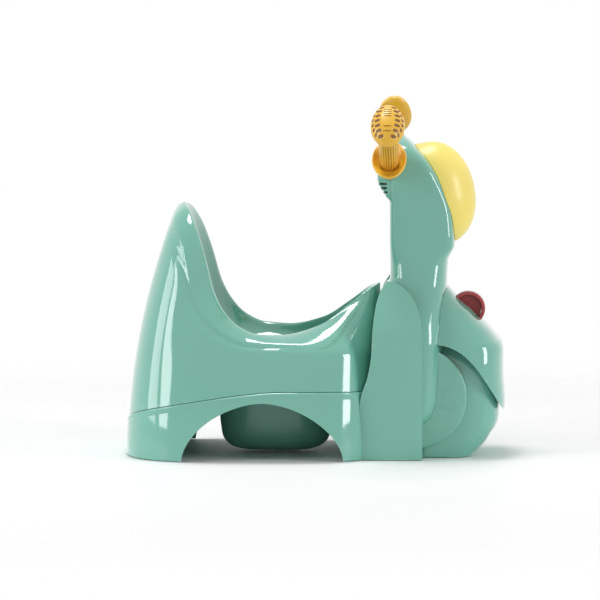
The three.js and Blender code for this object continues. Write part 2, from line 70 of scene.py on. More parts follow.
def soft_box(name, place, target, width, height, watts):
    data = bpy.data.lights.new(name, "AREA")
    data.shape = "RECTANGLE"
    data.size = width
    data.size_y = height
    data.energy = watts
    lamp = bpy.data.objects.new(name, data)
    lamp.location = place
    lamp.rotation_euler = (Vector(target) - lamp.location).to_track_quat("-Z", "Y").to_euler()
    bpy.context.scene.collection.objects.link(lamp)


soft_box("overhead_box", (-0.15, 0.2, 2.2), (0, 0.1, 0.1), 1.0, 0.55, 24)
soft_box("tall_box", (-2.3, -1.35, 0.95), (-0.1, 0, 0.2), 0.62, 1.7, 21)
soft_box("rear_box", (-2.4, -0.35, 0.7), (-0.1, 0, 0.15), 0.9, 1.2, 13)
soft_box("front_box", (2.2, -1.0, 0.75), (0.1, 0, 0.2), 0.6, 1.3, 25)

# The world is seen, also in reflections, as plain white, but lights the chair only weakly.
world_light, world_seen = 0.34, 1.0
world = bpy.data.worlds.new("studio_world")
bpy.context.scene.world = world
world.use_nodes = True
sky = world.node_tree
sky.nodes.clear()
sky_out = sky.nodes.new("ShaderNodeOutputWorld")
sky_light, sky_white = (sky.nodes.new("ShaderNodeBackground") for _ in range(2))
for backdrop, strength in ((sky_light, world_light), (sky_white, world_seen)):
    backdrop.inputs["Color"].default_value = (1, 1, 1, 1)
    backdrop.inputs["Strength"].default_value = strength
sky_path = sky.nodes.new("ShaderNodeLightPath")
sky_mix = sky.nodes.new("ShaderNodeMixShader")
sky_seen = sky.nodes.new("ShaderNodeMath")
sky_seen.operation = "MAXIMUM"
sky.links.new(sky_path.outputs["Is Camera Ray"], sky_seen.inputs[0])
sky.links.new(sky_path.outputs["Is Glossy Ray"], sky_seen.inputs[1])
sky.links.new(sky_seen.outputs["Value"], sky_mix.inputs["Fac"])
sky.links.new(sky_light.outputs["Background"], sky_mix.inputs[1])
sky.links.new(sky_white.outputs["Background"], sky_mix.inputs[2])
sky.links.new(sky_mix.outputs["Shader"], sky_out.inputs["Surface"])

# The floor is a plain pale sheet, matt, with a trace of tooth so that it isn't a flat colour.
# It thins out to nothing a little way from the chair, where the white world shows instead.
floor_half = 3.0
fade_from, fade_to = 0.35, 1.2
paper_tooth = 30
floor_mesh = bpy.data.meshes.new("floor")
floor_mesh.from_pydata([(-floor_half, -floor_half, 0), (floor_half, -floor_half, 0),
                        (floor_half, floor_half, 0), (-floor_half, floor_half, 0)],
                       [], [(0, 1, 2, 3)])
floor = bpy.data.objects.new("floor", floor_mesh)
bpy.context.scene.collection.objects.link(floor)
paper = bpy.data.materials.new("floor_paper")
paper.use_nodes = True
floor_mesh.materials.append(paper)
paper_nodes, paper_links = paper.node_tree.nodes, paper.node_tree.links
paper_shader = paper_nodes["Principled BSDF"]
paper_shader.inputs["Roughness"].default_value = 0.55
paper_shader.inputs["Specular IOR Level"].default_value = 0.2
paper_noise = paper_nodes.new("ShaderNodeTexNoise")
paper_noise.inputs["Scale"].default_value = paper_tooth
paper_ramp = paper_nodes.new("ShaderNodeValToRGB")
paper_ramp.color_ramp.elements[0].color = (0.955, 0.957, 0.96, 1)
paper_ramp.color_ramp.elements[1].color = (0.985, 0.985, 0.985, 1)
paper_links.new(paper_noise.outputs["Fac"], paper_ramp.inputs["Fac"])
paper_links.new(paper_ramp.outputs["Color"], paper_shader.inputs["Base Color"])
paper_place = paper_nodes.new("ShaderNodeTexCoord")
paper_distance = paper_nodes.new("ShaderNodeVectorMath")
paper_distance.operation = "LENGTH"
paper_fade = paper_nodes.new("ShaderNodeMapRange")
paper_fade.interpolation_type = "SMOOTHSTEP"
for label, number in (("From Min", fade_from), ("From Max", fade_to),
                      ("To Min", 1.0), ("To Max", 0.0)):
    paper_fade.inputs[label].default_value = number
paper_links.new(paper_place.outputs["Object"], paper_distance.inputs[0])
paper_links.new(paper_distance.outputs["Value"], paper_fade.inputs["Value"])
paper_links.new(paper_fade.outputs["Result"], paper_shader.inputs["Alpha"])

# ------------------------------------------------
# Base skirt: the injection-moulded foot of the chair, polypropylene, open below, with a bead
# along its top edge and an arched cut-out in each side. The seat shell snaps over its tongue.
weld_distance = 2e-6


def smooth_curve(rows):
    """A smooth curve through a few (place, value) rows that never overshoots them."""
    slopes = [(b[1] - a[1]) / (b[0] - a[0]) for a, b in zip(rows, rows[1:])]
    tangents = [slopes[0]]
    for before, after in zip(slopes, slopes[1:]):
        tangents.append(0 if before * after <= 0 else 2 * before * after / (before + after))
    tangents.append(slopes[-1])

    def at(place):
        place = min(max(place, rows[0][0]), rows[-1][0])
        i = 0
        while i < len(rows) - 2 and place > rows[i + 1][0]:
            i += 1
        span = rows[i + 1][0] - rows[i][0]
        u = (place - rows[i][0]) / span
        v = 1 - u
        return (rows[i][1] * (1 + 2 * u) * v * v + rows[i + 1][1] * u * u * (3 - 2 * u)
                + span * u * v * (tangents[i] * v - tangents[i + 1] * u))

    return at


def plan_point(angle, plan, height, extra=0.0):
    """Point on a rounded-rectangle outline (x, half x, half y, power), in millimetres."""
    centre, half_x, half_y, power = plan
    radius = ((abs(math.cos(angle)) / (half_x + extra)) ** power
              + (abs(math.sin(angle)) / (half_y + extra)) ** power) ** (-1 / power)
    return Vector((centre + radius * math.cos(angle), radius * math.sin(angle), height))


def turns(count):
    return [2 * math.pi * (i + 0.5) / count for i in range(count)]


def make_piece(name, verts, faces, body, slot, material, replaced=(), sharp=35):
    """A mesh object from millimetre points, riding on its body with its finish."""
    mesh = bpy.data.meshes.new(name)
    mesh.from_pydata([Vector(v) * MM for v in verts], [], faces)
    mesh.validate()
    piece = bpy.data.objects.new(name, mesh)
    bpy.context.scene.collection.objects.link(piece)
    tidy_mesh(piece, sharp)
    mesh.materials.append(material)
    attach(piece, body)
    if replaced:
        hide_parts(*replaced)
    return piece


def tidy_mesh(piece, sharp=35):
    """Welds doubled points, turns faces outward and shades smooth up to the sharp angle."""
    work = bmesh.new()
    work.from_mesh(piece.data)
    bmesh.ops.remove_doubles(work, verts=work.verts, dist=weld_distance)
    bmesh.ops.recalc_face_normals(work, faces=work.faces)
    work.to_mesh(piece.data)
    work.free()
    for face in piece.data.polygons:
        face.use_smooth = True
    piece.data.set_sharp_from_angle(angle=math.radians(sharp))


def grid(rows, ring=True, loop=False, cap=False):
    """Vertices and quads over rows of points: ring closes each row, loop closes the rows."""
    across = len(rows[0])
    verts = [p for row in rows for p in row]
    faces = []
    for i in range(len(rows) if loop else len(rows) - 1):
        this, after = i * across, ((i + 1) % len(rows)) * across
        for j in range(across if ring else across - 1):
            k = (j + 1) % across
            faces.append((this + j, this + k, after + k, after + j))
    if cap:
        faces.append(tuple(range(across))[::-1])
        faces.append(tuple(range((len(rows) - 1) * across, len(rows) * across)))
    return verts, faces


def cutter(name, verts, faces):
    """A closed body that only cuts or joins; drop() removes it."""
    mesh = bpy.data.meshes.new(name)
    mesh.from_pydata([Vector(v) * MM for v in verts], [], faces)
    body = bpy.data.objects.new(name, mesh)
    bpy.context.scene.collection.objects.link(body)
    work = bmesh.new()
    work.from_mesh(mesh)
    bmesh.ops.recalc_face_normals(work, faces=work.faces)
    work.to_mesh(mesh)
    work.free()
    return body


def bake_modifiers(piece):
    """Gives the piece the mesh that its modifiers make, and takes them off."""
    graph = bpy.context.evaluated_depsgraph_get()
    made = bpy.data.meshes.new_from_object(piece.evaluated_get(graph), depsgraph=graph)
    old = piece.data
    piece.modifiers.clear()
    piece.data = made
    made.name = old.name
    bpy.data.meshes.remove(old)


def cut(piece, *bodies, operation="DIFFERENCE"):
    """Takes bodies out of the piece one by one, or joins or keeps them by the operation."""
    for body in bodies:
        step = piece.modifiers.new("cut", "BOOLEAN")
        step.operation = operation
        step.solver = "EXACT"
        step.object = body
        bake_modifiers(piece)
    tidy_mesh(piece)


def drop(*bodies):
    for body in bodies:
        mesh = body.data
        bpy.data.objects.remove(body)
        bpy.data.meshes.remove(mesh)


def soften_edges(piece, width, segments=2, angle=40):
    """Rounds off the piece's hard edges, as a mould does."""
    step = piece.modifiers.new("moulded_edge", "BEVEL")
    step.width = width * MM
    step.segments = segments
    step.limit_method = "ANGLE"
    step.angle_limit = math.radians(angle)


def prism(points, y0, y1):
    """An outline (x, z) in side view, drawn across the chair from y0 to y1."""
    count = len(points)
    verts = [(x, y0, z) for x, z in points] + [(x, y1, z) for x, z in points]
    faces = [tuple(range(count)), tuple(range(2 * count - 1, count - 1, -1))]
    faces += [(i, (i + 1) % count, count + (i + 1) % count, count + i) for i in range(count)]
    return verts, faces


def side_prism(name, points, y0, y1):
    return cutter(name, *prism(points, y0, y1))


def block(name, x0, x1, y0, y1, z0, z1):
    return side_prism(name, [(x0, z0), (x1, z0), (x1, z1), (x0, z1)], y0, y1)


def surface_group():
    """Shared effect of a moulded plastic skin: colour mottle, edge wear, dust and fine texture."""
    group = bpy.data.node_groups.new("moulded_skin", "ShaderNodeTree")
    face = group.interface
    for label, kind, value in (
            ("Colour", "NodeSocketColor", (0.4, 0.7, 0.6, 1)),
            ("Deep", "NodeSocketColor", (0.35, 0.6, 0.5, 1)),
            ("Worn", "NodeSocketColor", (0.6, 0.8, 0.7, 1)),
            ("Gloss", "NodeSocketFloat", 0.2), ("Wear", "NodeSocketFloat", 0.35)):
        socket = face.new_socket(name=label, in_out="INPUT", socket_type=kind)
        socket.default_value = value
    face.new_socket(name="Colour", in_out="OUTPUT", socket_type="NodeSocketColor")
    face.new_socket(name="Roughness", in_out="OUTPUT", socket_type="NodeSocketFloat")
    face.new_socket(name="Height", in_out="OUTPUT", socket_type="NodeSocketFloat")
    nodes, links = group.nodes, group.links
    given, result = nodes.new("NodeGroupInput"), nodes.new("NodeGroupOutput")
    place = nodes.new("ShaderNodeTexCoord")

    def noise(scale, detail):
        texture = nodes.new("ShaderNodeTexNoise")
        texture.inputs["Detail"].default_value = detail
        texture.inputs["Scale"].default_value = scale
        links.new(place.outputs["Object"], texture.inputs["Vector"])
        return texture.outputs["Fac"]

    def span(value, low, high, to_low=0.0, to_high=1.0):
        node = nodes.new("ShaderNodeMapRange")
        for label, number in (("From Min", low), ("From Max", high),
                              ("To Min", to_low), ("To Max", to_high)):
            node.inputs[label].default_value = number
        links.new(value, node.inputs["Value"])
        return node.outputs["Result"]

    def mix(factor, first, second):
        node = nodes.new("ShaderNodeMix")
        node.data_type = "RGBA"
        links.new(factor, node.inputs["Factor"])
        links.new(first, node.inputs["A"])
        links.new(second, node.inputs["B"])
        return node.outputs["Result"]

    def math_node(kind, first, second):
        node = nodes.new("ShaderNodeMath")
        node.operation = kind
        for socket, value in zip(node.inputs, (first, second)):
            if isinstance(value, float):
                socket.default_value = value
            else:
                links.new(value, socket)
        return node.outputs["Value"]

    mottle = span(noise(9.0, 3.0), 0.35, 0.65)
    tinted = mix(math_node("MULTIPLY", mottle, 0.5), given.outputs["Colour"], given.outputs["Deep"])
    shape = nodes.new("ShaderNodeNewGeometry")
    edge = span(shape.outputs["Pointiness"], 0.52, 0.60)
    patches = span(noise(70.0, 2.0), 0.4, 0.7)
    worn = math_node("MULTIPLY", math_node("MULTIPLY", edge, patches), given.outputs["Wear"])
    coloured = mix(worn, tinted, given.outputs["Worn"])
    links.new(coloured, result.inputs["Colour"])
    speckle = span(noise(900.0, 2.0), 0.3, 0.7, -0.02, 0.03)
    smears = span(noise(24.0, 4.0), 0.45, 0.75, 0.0, 0.06)
    rough = math_node("ADD", given.outputs["Gloss"], math_node("ADD", speckle, smears))
    scuffs = math_node("MULTIPLY", worn, 0.25)
    links.new(math_node("ADD", rough, scuffs), result.inputs["Roughness"])
    peel = math_node("MULTIPLY", noise(160.0, 1.0), 0.6)
    tooth = math_node("MULTIPLY", noise(1400.0, 1.0), 0.12)
    links.new(math_node("ADD", peel, tooth), result.inputs["Height"])
    return group


moulded_skin = surface_group()


def plastic(name, colour, deep, worn, gloss, coat=0.0, relief=0.00006, wear=0.35):
    """A moulded plastic: its own colours and gloss fed through the shared skin group."""
    material = bpy.data.materials.new(name)
    material.use_nodes = True
    tree = material.node_tree
    shader = tree.nodes["Principled BSDF"]
    shader.inputs["IOR"].default_value = 1.5
    shader.inputs["Coat Weight"].default_value = coat
    shader.inputs["Coat Roughness"].default_value = 0.04
    skin = tree.nodes.new("ShaderNodeGroup")
    skin.node_tree = moulded_skin
    for label, value in (("Colour", colour), ("Deep", deep), ("Worn", worn)):
        skin.inputs[label].default_value = (*value, 1)
    skin.inputs["Gloss"].default_value = gloss
    skin.inputs["Wear"].default_value = wear
    bump = tree.nodes.new("ShaderNodeBump")
    bump.inputs["Distance"].default_value = relief
    bump.inputs["Strength"].default_value = 0.5
    tree.links.new(skin.outputs["Colour"], shader.inputs["Base Color"])
    tree.links.new(skin.outputs["Roughness"], shader.inputs["Roughness"])
    tree.links.new(skin.outputs["Height"], bump.inputs["Height"])
    tree.links.new(bump.outputs["Normal"], shader.inputs["Normal"])
    return material


mint = plastic("mint_gloss", (0.165, 0.450, 0.355), (0.152, 0.430, 0.336), (0.42, 0.72, 0.60),
               0.06, coat=0.5, relief=0.00002)


def mint_piece(name, mesh, replaced, sharp=35):
    return make_piece(name, *mesh, "chair", "mint_shell", mint, replaced, sharp)


# Plans are centre x, half x, half y and power. The crest is the rim's ridge line, by degrees
# round from the nose, and the knee is where the outer wall turns over towards it.
seat_base = (-72.6, 150.9, 135.0, 3.0)
opening = (-48.0, 84.0, 66.0, 2.3)
opening_height = 128.0
wall_thickness = 3.0
gap = 0.3
skirt_proud = 1.5
floor_gap = 0.8

crest_x = smooth_curve([(0, 76), (20, 68), (40, 42), (60, 8), (80, -36), (96, -66), (110, -92),
                        (122, -110), (132, -122), (142, -133), (152, -143), (165, -152),
                        (180, -157)])
crest_y = smooth_curve([(0, 0), (20, 24), (40, 42), (60, 62), (80, 80), (96, 89), (110, 91),
                        (122, 90), (132, 84), (142, 72), (152, 56), (165, 31), (180, 0)])
crest_z = smooth_curve([(0, 203), (20, 199), (40, 179), (60, 157), (80, 146.5), (96, 148),
                        (110, 159), (122, 178), (132, 203), (142, 246), (152, 276), (165, 293),
                        (180, 298)])
knee_drop = smooth_curve([(0, 73), (20, 69), (40, 51), (60, 26), (80, 10.5), (110, 11), (142, 14),
                          (180, 14)])
knee_lean = smooth_curve([(0, 0.3), (40, 0.25), (60, 0.32), (96, 0.49), (122, 0.6), (142, 0.7),
                          (180, 0.78)])
rim_round = smooth_curve([(0, 1.2), (40, 1.2), (60, 1.4), (96, 1.8), (122, 2), (180, 2)])

# The bead is highest near the front of each side, bead_turn degrees round from the nose.
bead_top, bead_turn, bead_front_drop, bead_rear_drop = 83, 75, 7, 50
bead_depth, bead_rise, bead_bulge, bead_tuck = 4.0, 3.7, 1.1, 2.2
tongue = -(wall_thickness + 2 * gap)
tongue_rise, tongue_wall, tongue_root = 10, 2.5, 9
foot_soft = 0.8


def folded(angle):
    return abs(math.degrees(math.atan2(math.sin(angle), math.cos(angle))))


def crest_point(angle):
    degrees = folded(angle)
    across = math.copysign(crest_y(degrees), math.sin(angle))
    return Vector((crest_x(degrees), across, crest_z(degrees)))


def bead_height(angle):
    degrees = folded(angle)
    if degrees < bead_turn:
        return bead_top - bead_front_drop * ((bead_turn - degrees) / bead_turn) ** 2
    return bead_top - bead_rear_drop * ((degrees - bead_turn) / (180 - bead_turn)) ** 1.6


def between(angle, lean, height, proud=0.0):
    point = plan_point(angle, seat_base, 0).lerp(crest_point(angle), lean)
    return Vector((point.x + proud * math.cos(angle), point.y + proud * math.sin(angle), height))


def knee_height(angle):
    return crest_z(folded(angle)) - knee_drop(folded(angle))


def wall_point(angle, height, proud=0.0):
    lean = knee_lean(folded(angle)) * (max(height, 0) / knee_height(angle)) ** 2
    return between(angle, lean, height, proud)


def skirt_line(angle):
    """Section of the skirt: up the outside, over the bead and the tongue, down the inside."""
    bead = bead_height(angle)
    foot = floor_gap + foot_soft
    inside = skirt_proud - wall_thickness
    rows = [(skirt_proud - foot_soft, floor_gap), (skirt_proud, foot)]
    rows += [(skirt_proud, foot + (bead - foot - bead_depth) * i / 12) for i in range(1, 13)]
    for i in range(1, 7):
        turn = math.radians(90 * i / 6)
        bulge = bead_bulge * math.sin(2 * turn) - bead_tuck * (1 - math.cos(turn))
        rows.append((skirt_proud + bulge, bead - bead_depth + bead_rise * math.sin(turn)))
    rows += [(tongue, bead - gap), (tongue, bead + tongue_rise),
             (tongue - tongue_wall, bead + tongue_rise), (tongue - tongue_wall, bead - bead_depth),
             (inside, bead - tongue_root), (inside, floor_gap)]
    return [wall_point(angle, height, proud) for proud, height in rows]


skirt_rows = [skirt_line(a) for a in turns(168)]
base_skirt = mint_piece("base_skirt_moulding", grid(skirt_rows, loop=True), ["base_skirt"])

arch_centre, arch_half, arch_height, arch_power = -58, 95, 70, 1.75
arch_mouth = [(-154, -5), (30, -5)]


def arch_outline():
    points = []
    for i in range(65):
        turn = math.pi * i / 64
        across = math.copysign(abs(math.cos(turn)) ** (2 / arch_power), math.cos(turn))
        points.append((arch_centre + arch_half * across,
                       arch_height * math.sin(turn) ** (2 / arch_power)))
    return points + arch_mouth


arches = side_prism("arch_cutter", arch_outline(), -160, 160)
cut(base_skirt, arches)
drop(arches)

rear_foot, front_foot = (-182, 84), (166, 38)
foot_low, foot_high, foot_block, foot_web = 3.3, 15.3, 13, 4


def add_foot_blocks(shell, place, web_from, web_to):
    """Joins the blocks that a pair of feet are pressed into, and the webs that carry them."""
    x, y = place
    for side in (-1, 1):
        pad_y = sorted((side * (y - foot_block), side * (y + foot_block)))
        web_y = sorted((side * web_from, side * web_to))
        pad = block("foot_pad", x - foot_block, x + foot_block, *pad_y, foot_low, foot_high)
        web = block("foot_web", x - foot_web, x + foot_web, *web_y, foot_low, foot_high)
        cut(shell, pad, web, operation="UNION")
        drop(pad, web)


add_foot_blocks(base_skirt, rear_foot, rear_foot[1], 109.5)
soften_edges(base_skirt, 0.9)

# ------------------------------------------------
# Seat shell: one glossy moulding with the outer wall, the high backrest, the rolled rim, the
# splash guard in front and the seat surface, which ends in a ledge that the bowl hangs on.
wall_steps, rim_steps, face_steps = 26, 14, 24
crease_from, crease_to, crease_rise, crease_fade = 58, 172, 24, 22
crease_depth, crease_width = 2.0, 1.3
ledge_height = opening_height - 5
ledge_width = 9
ledge_soft = 0.6


def crease_mask(angle):
    """Strength of the crease under the rim: it fades in at the front and out behind."""
    degrees = folded(angle)
    rise = min(max((degrees - crease_from) / crease_rise, 0), 1)
    fade = min(max((crease_to - degrees) / crease_fade, 0), 1)
    return rise * rise * (3 - 2 * rise) * fade


def rim_point(angle, share, proud=0.0):
    degrees = folded(angle)
    rise = 1 - (1 - share) ** rim_round(degrees)
    lean = knee_lean(degrees) + (1 - knee_lean(degrees)) * share
    height = knee_height(angle) + (crest_z(degrees) - knee_height(angle)) * rise
    return between(angle, lean, height, proud)


def inner_point(angle, share):
    reach = 0.35 * math.sqrt(1 - (1 - share) ** 6) + 0.65 * share ** 2.5
    crest = crest_point(angle)
    point = crest.lerp(plan_point(angle, opening, 0), reach)
    point.z = crest.z + (opening_height - crest.z) * share
    return point


def round_over(points, passes):
    """Relaxes a line of points, so that its knees become soft moulded radii."""
    for _ in range(passes):
        middle = [(a + 2 * b + c) / 4 for a, b, c in zip(points, points[1:], points[2:])]
        points = [points[0]] + middle + [points[-1]]
    return points


def thicken(piece, thickness):
    step = piece.modifiers.new("wall", "SOLIDIFY")
    step.thickness = thickness * MM
    step.offset = -1
    bake_modifiers(piece)


def seat_line(angle):
    """Section of the seat: up the outer wall, over the rim, down the face, round the ledge."""
    foot = bead_height(angle) + gap
    knee = knee_height(angle)
    wall_rows = [wall_point(angle, foot + (knee - foot) * i / wall_steps)
                 for i in range(wall_steps)]
    rim_rows = [rim_point(angle, i / rim_steps) for i in range(rim_steps + 1)]
    line = round_over(wall_rows + rim_rows, 5)
    inward = Vector((math.cos(angle), math.sin(angle), 0.6))
    mask = crease_mask(angle)
    creased = []
    for i, point in enumerate(line):
        rows_off = (i - (wall_steps - 0.5)) / crease_width
        creased.append(point - inward * (crease_depth * mask * math.exp(-rows_off ** 2)))
    face = [inner_point(angle, (i / face_steps) ** 1.6) for i in range(1, face_steps + 1)]
    step = [plan_point(angle, opening, height, extra) for height, extra in (
        (opening_height - 0.8, 0.2), (ledge_height + ledge_soft, 0),
        (ledge_height, -ledge_soft), (ledge_height, ledge_soft - ledge_width),
        (ledge_height - ledge_soft, -ledge_width), (ledge_height - 9, -ledge_width))]
    return creased + face + step


seat_rows = list(zip(*[seat_line(a) for a in turns(200)]))
seat_shell = mint_piece("seat_shell_moulding", grid(seat_rows), ["seat_shell"], sharp=50)
thicken(seat_shell, wall_thickness)
tidy_mesh(seat_shell, 50)

# ------------------------------------------------
# Potty bowl: a satin moulding that hangs by its rim on the seat's ledge and lifts straight out.
# Its floor is rounded off for cleaning and stands clear of the ground.
# The bowl's mint is darker than the shell's: painted shade for its place under the seat.
bowl_mint_painted_shade = plastic("mint_satin_painted_shade", (0.13, 0.36, 0.275), (0.12, 0.335, 0.255), (0.3, 0.55, 0.45),
                    0.22, coat=0.1)
bowl_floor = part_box("potty_bowl")[0][2] / MM
bowl_wall, bowl_hub = 2.5, 20
flange_low = ledge_height + gap
flange_high = flange_low + 3
flange_edge = opening[1] - 1.2
bowl_outer = smooth_curve([(0, 34), (1.5, 45), (7, 57), (17, 64), (39, 67), (77, 69),
                           (flange_low - 3, 73)])
bowl_heights = [0, 0.3, 0.9, 1.5, 3, 5, 8, 12, 17, 24, 32, 45, 60, 75, 90, 105, flange_low - 3.4]


def bowl_ring(half, height):
    return [plan_point(a, (opening[0], half, half - 18, opening[3]), height) for a in turns(96)]


bowl_rows = [bowl_ring(bowl_hub, bowl_floor)]
bowl_rows += [bowl_ring(bowl_outer(h), bowl_floor + h) for h in bowl_heights]
bowl_rows += [bowl_ring(half, height) for half, height in (
    (flange_edge - 0.5, flange_low), (flange_edge, flange_low + 0.6),
    (flange_edge, flange_low + 2.2), (flange_edge - 0.8, flange_high), (75, flange_high),
    (72.5, flange_low + 2))]
bowl_rows += [bowl_ring(bowl_outer(h) - bowl_wall, bowl_floor + h + bowl_wall)
              for h in reversed(bowl_heights[:-1])]
bowl_rows += [bowl_ring(bowl_hub, bowl_floor + bowl_wall)]
make_piece("potty_bowl_moulding", *grid(bowl_rows, cap=True), "bowl", "mint_bowl", bowl_mint_painted_shade,
           ["potty_bowl"])

# ------------------------------------------------
# Column: the scooter's leg shield and head, moulded in a left and a right half that meet on the
# centre line and are screwed together from the left. The neck narrows above the side bags.
shell_wall = 2.6
column_top = 378.0
column_power = smooth_curve([(0, 3.2), (225, 3.2), (262, 7), (345, 7), (372, 3.2), (378, 3.2)])
column_rear = smooth_curve([(0, 58), (40, 58), (75, 61), (100, 67), (149, 73), (177, 76),
                            (196, 81), (212, 88), (300, 88), (307, 83), (328, 73), (345, 73),
                            (360, 79), (370, 87), (378, 98)])
column_front = smooth_curve([(0, 129), (35, 131), (44, 143), (55, 151), (70, 155), (134, 156),
                             (170, 155), (210, 156), (230, 157), (250, 165), (268, 164),
                             (288, 162), (308, 156), (332, 145), (353, 131), (365, 119),
                             (372, 112), (378, 104)])
column_half = smooth_curve([(0, 86), (130, 86), (150, 84), (170, 76), (190, 64), (205, 55),
                            (222, 49), (250, 46), (296, 46), (320, 50), (334, 52), (348, 51),
                            (362, 44), (372, 29), (378, 10)])


def column_plan(height, extra=0.0):
    rear, front = column_rear(height) - extra, column_front(height) + extra
    return ((rear + front) / 2, (front - rear) / 2, column_half(height) + extra,
            column_power(height))


def column_levels(step=3.0):
    levels = [floor_gap]
    while levels[-1] + step < 360:
        levels.append(levels[-1] + step)
    return levels + [360, 363, 366, 369, 371.5, 373.5, 375.5, 377, column_top]


def seat_solid(name, proud):
    """The seat's outer body, closed above and below, which the column and bags fit round."""
    around = turns(120)
    count = len(around)
    rows = [[wall_point(a, h, proud) for a in around] for h in (-6.0, 0.0)]
    for i in range(9):
        rows.append([wall_point(a, 30 + (knee_height(a) - 30) * i / 8, proud) for a in around])
    for i in range(1, 8):
        rows.append([rim_point(a, i / 7, proud) for a in around])
    rows.append([p + Vector((0, 0, 4)) for p in rows[-1]])
    verts, faces = grid(rows)
    faces.append(tuple(range(count))[::-1])
    hub = len(verts)
    verts.append(Vector((-50, 0, 190)))
    last = (len(rows) - 1) * count
    faces += [(last + j, last + (j + 1) % count, hub) for j in range(count)]
    return cutter(name, verts, faces)


def side_rod(name, x, z, radius, y0, y1, count=40):
    ring = [(x + radius * math.cos(t), z + radius * math.sin(t)) for t in turns(count)]
    return side_prism(name, ring, y0, y1)


screw_places = [(112, 48), (112, 150), (118, 262)]
boss_radius, bore_radius, head_radius, head_seat = 6, 2.0, 4.1, 10.7
crown = (101, column_top + 0.4)
grille_front, grille_low, grille_high = 90, 302, 334
seat_cutter = seat_solid("seat_cutter", skirt_proud + gap)
grille_cutter = block("grille_cutter", 55, grille_front + gap, -90, 90, grille_low - gap,
                      grille_high + gap)

for side, word in ((1, "left"), (-1, "right")):
    half_turns = [math.pi * i / 84 for i in range(85)]
    rows = []
    for z in column_levels():
        row = [plan_point(a, column_plan(z), z) for a in half_turns]
        rows.append([Vector((p.x, side * max(p.y, gap / 2), p.z)) for p in row])
    rows.append([Vector((crown[0], side * gap / 2, crown[1])) for _ in half_turns])
    verts, faces = grid(rows, ring=False)
    if side < 0:
        faces = [f[::-1] for f in faces]
    shell = mint_piece(f"column_half_{word}", (verts, faces), [f"column_shell_{word}"])
    thicken(shell, shell_wall)
    for x, z in screw_places:
        reach = sorted((side * gap / 2, side * (column_half(z) - 1.5)))
        boss = side_rod("boss", x, z, boss_radius, *reach)
        bore = side_rod("bore", x, z, bore_radius, -12, 12)
        head = side_rod("head", x, z, head_radius, head_seat, 120)
        cut(shell, boss, operation="UNION")
        cut(shell, bore, head)
        drop(boss, bore, head)
    cut(shell, seat_cutter, grille_cutter)
    soften_edges(shell, 0.5)
drop(grille_cutter)

# ------------------------------------------------
# Rear grille: the louvred cover of the head's back, clipped between the column halves. Four
# slots with round ends lie on each side of its spine and run round the corner.
slot_first, slot_pitch, slot_radius, slot_end = 308, 5.0, 1.4, 84.5


def join(piece, body):
    """Adds a body that stands on the inside of the piece, such as a rib, and drops the body."""
    work = bmesh.new()
    work.from_mesh(piece.data)
    work.from_mesh(body.data)
    work.to_mesh(piece.data)
    work.free()
    drop(body)


grille_levels = [grille_low - 6 + i * 1.5 for i in range(30)]
grille_rows = [[plan_point(a, column_plan(z), z) for a in turns(168)] for z in grille_levels]
rear_grille = mint_piece("rear_grille_cover", grid(grille_rows), ["rear_grille"])
thicken(rear_grille, shell_wall)
keep_block = block("grille_keep", 55, grille_front, -90, 90, grille_low, grille_high)
cut(rear_grille, keep_block, operation="INTERSECT")
drop(keep_block)
for i in range(4):
    for side in (-1, 1):
        z = slot_first + slot_pitch * i
        round_end = [math.pi * (k / 8 - 0.5) for k in range(9)]
        outline = [(slot_end + slot_radius * math.cos(t), z + slot_radius * math.sin(t))
                   for t in round_end] + [(60, z + slot_radius), (60, z - slot_radius)]
        slot_body = side_prism("slot_cutter", outline, *sorted((side * 5, side * 90)))
        cut(rear_grille, slot_body)
        drop(slot_body)
spine_line = [(column_rear(z) + 1, z) for z in range(grille_low + 2, 326, 3)]
spine_back = [(grille_front - 1, 323), (grille_front - 1, grille_low + 2)]
join(rear_grille, side_prism("grille_spine", spine_line + spine_back, -1.2, 1.2))
soften_edges(rear_grille, 0.3)

# ------------------------------------------------
# Panniers: two nearly flat side bags in the same gloss mint, clipped to the column, with an
# arched top and a soft edge all round. They are drawn as closed bodies.
bag_front, bag_top, bag_shoulder, bag_peak, bag_depth = 129, 209, 146, 86, 12
wheel_room_half = 71.6


def column_solid(name, extra):
    """The column as a closed body, larger by extra, which the parts around it are cut to."""
    around = turns(144)
    rows = [[plan_point(a, column_plan(0, extra), -6.0) for a in around]]
    rows += [[plan_point(a, column_plan(z, extra), z + (extra if z == column_top else 0))
              for a in around] for z in column_levels(6.0)]
    return cutter(name, *grid(rows, cap=True))


def bag_outline():
    """Side view of a bag: up its rear edge, over the arched top and down its front edge."""
    rear = smooth_curve([(-10, 52), (40, 52), (75, 57), (100, 65), (125, 69), (149, 70),
                         (177, 73), (196, 78), (bag_top, bag_peak)])
    points = [(rear(z), z) for z in [-10 + i * 5.475 for i in range(41)]]
    for i in range(1, 21):
        turn = math.pi / 2 * i / 20
        points.append((bag_peak + (bag_front - bag_peak) * math.sin(turn),
                       bag_shoulder + (bag_top - bag_shoulder) * math.cos(turn)))
    points += [(bag_front, bag_shoulder - 6 * i) for i in range(1, 27)]
    return points + [(bag_front - 11 * i, -10) for i in range(1, 7)]


def bag_skin(z):
    return (90.5, 60.5, column_half(z) + bag_depth, 6)


